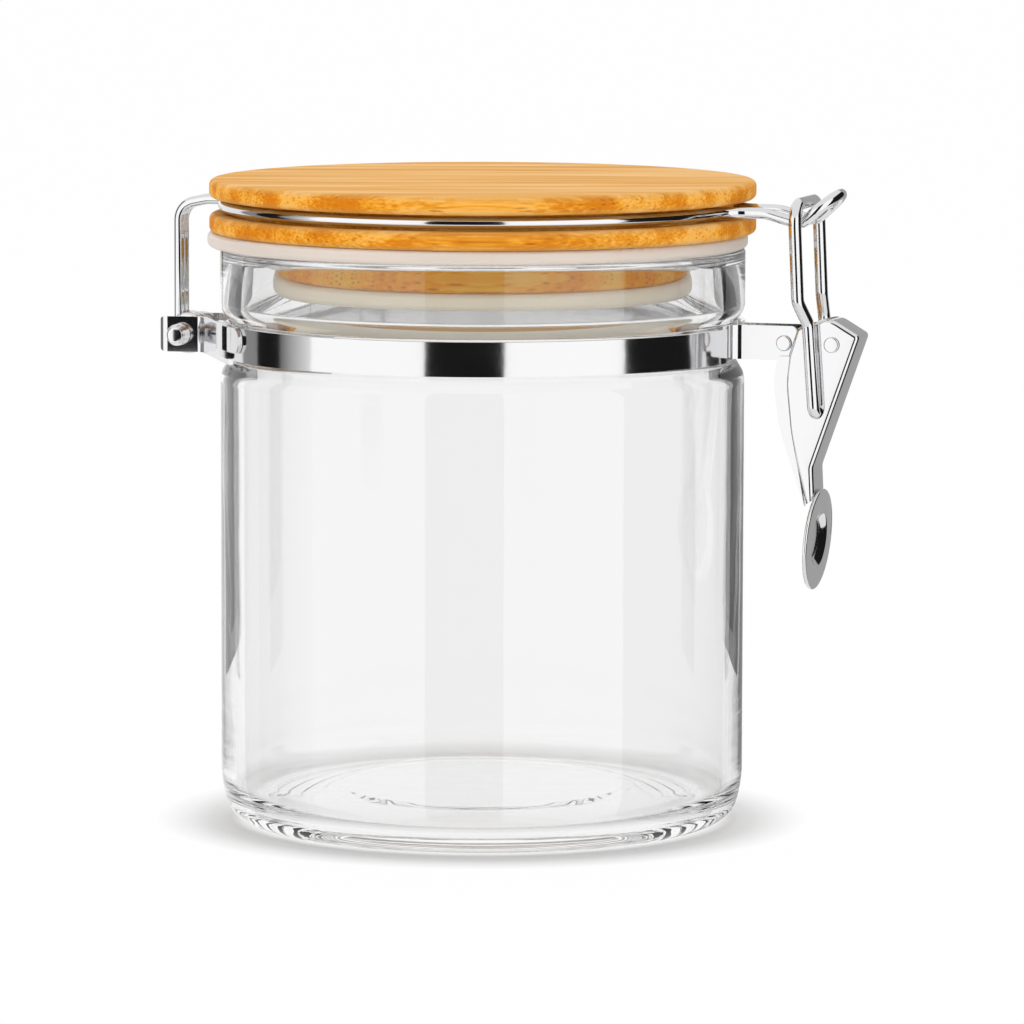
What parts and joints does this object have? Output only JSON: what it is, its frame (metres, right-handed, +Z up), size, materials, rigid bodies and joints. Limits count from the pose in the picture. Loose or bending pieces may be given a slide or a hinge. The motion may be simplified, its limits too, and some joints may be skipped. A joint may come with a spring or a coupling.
{
  "type": "glass storage jar",
  "caption": "Round glass storage jar with a grooved bamboo lid, soft gaskets, a steel neck band, a wire bail hinge and a toggle clasp.",
  "frame": {"origin": "centre of the foot, on the jar's axis, at the surface it stands on", "axes": "+Z up along the jar's axis, +X towards the clasp, the lid's hinge at -X"},
  "size_m": [0.1388, 0.1042, 0.1228],
  "materials": {
    "clear_glass": "polished",
    "stainless": "polished",
    "bamboo": "satin, oiled",
    "silicone": "matt, milky"
  },
  "bodies": {
    "jar": {"glass_jar": "clear_glass", "neck_band_near": "stainless", "neck_band_far": "stainless", "hinge_clip_near": "stainless", "hinge_clip_far": "stainless", "hinge_bolt": "stainless", "band_rivet": "stainless", "lever_rivet": "stainless"},
    "lid": {"lid_disc": "bamboo", "lid_plug": "bamboo", "rim_gasket": "silicone", "plug_gasket": "silicone", "lid_bail": "stainless"},
    "lever": {"clasp_lever": "stainless"},
    "link": {"clasp_link": "stainless"}
  },
  "joints": [
    {"name": "lid_hinge", "type": "hinge", "parent": "jar", "child": "lid", "pos_m": [-0.0592, 0, 0.0919], "axis": [0, -1, 0], "range_deg": [0, 105]},
    {"name": "lever_pivot", "type": "hinge", "parent": "jar", "child": "lever", "pos_m": [0.0698, 0, 0.0933], "axis": [0, -1, 0], "range_deg": [0, 85]},
    {"name": "link_pivot", "type": "hinge", "parent": "lever", "child": "link", "pos_m": [0.0669, 0, 0.0805], "axis": [0, 1, 0], "range_deg": [0, 56]}
  ],
  "couplings": [
    {"joint": "link_pivot", "follows": "lever_pivot", "ratio": 0.65}
  ]
}
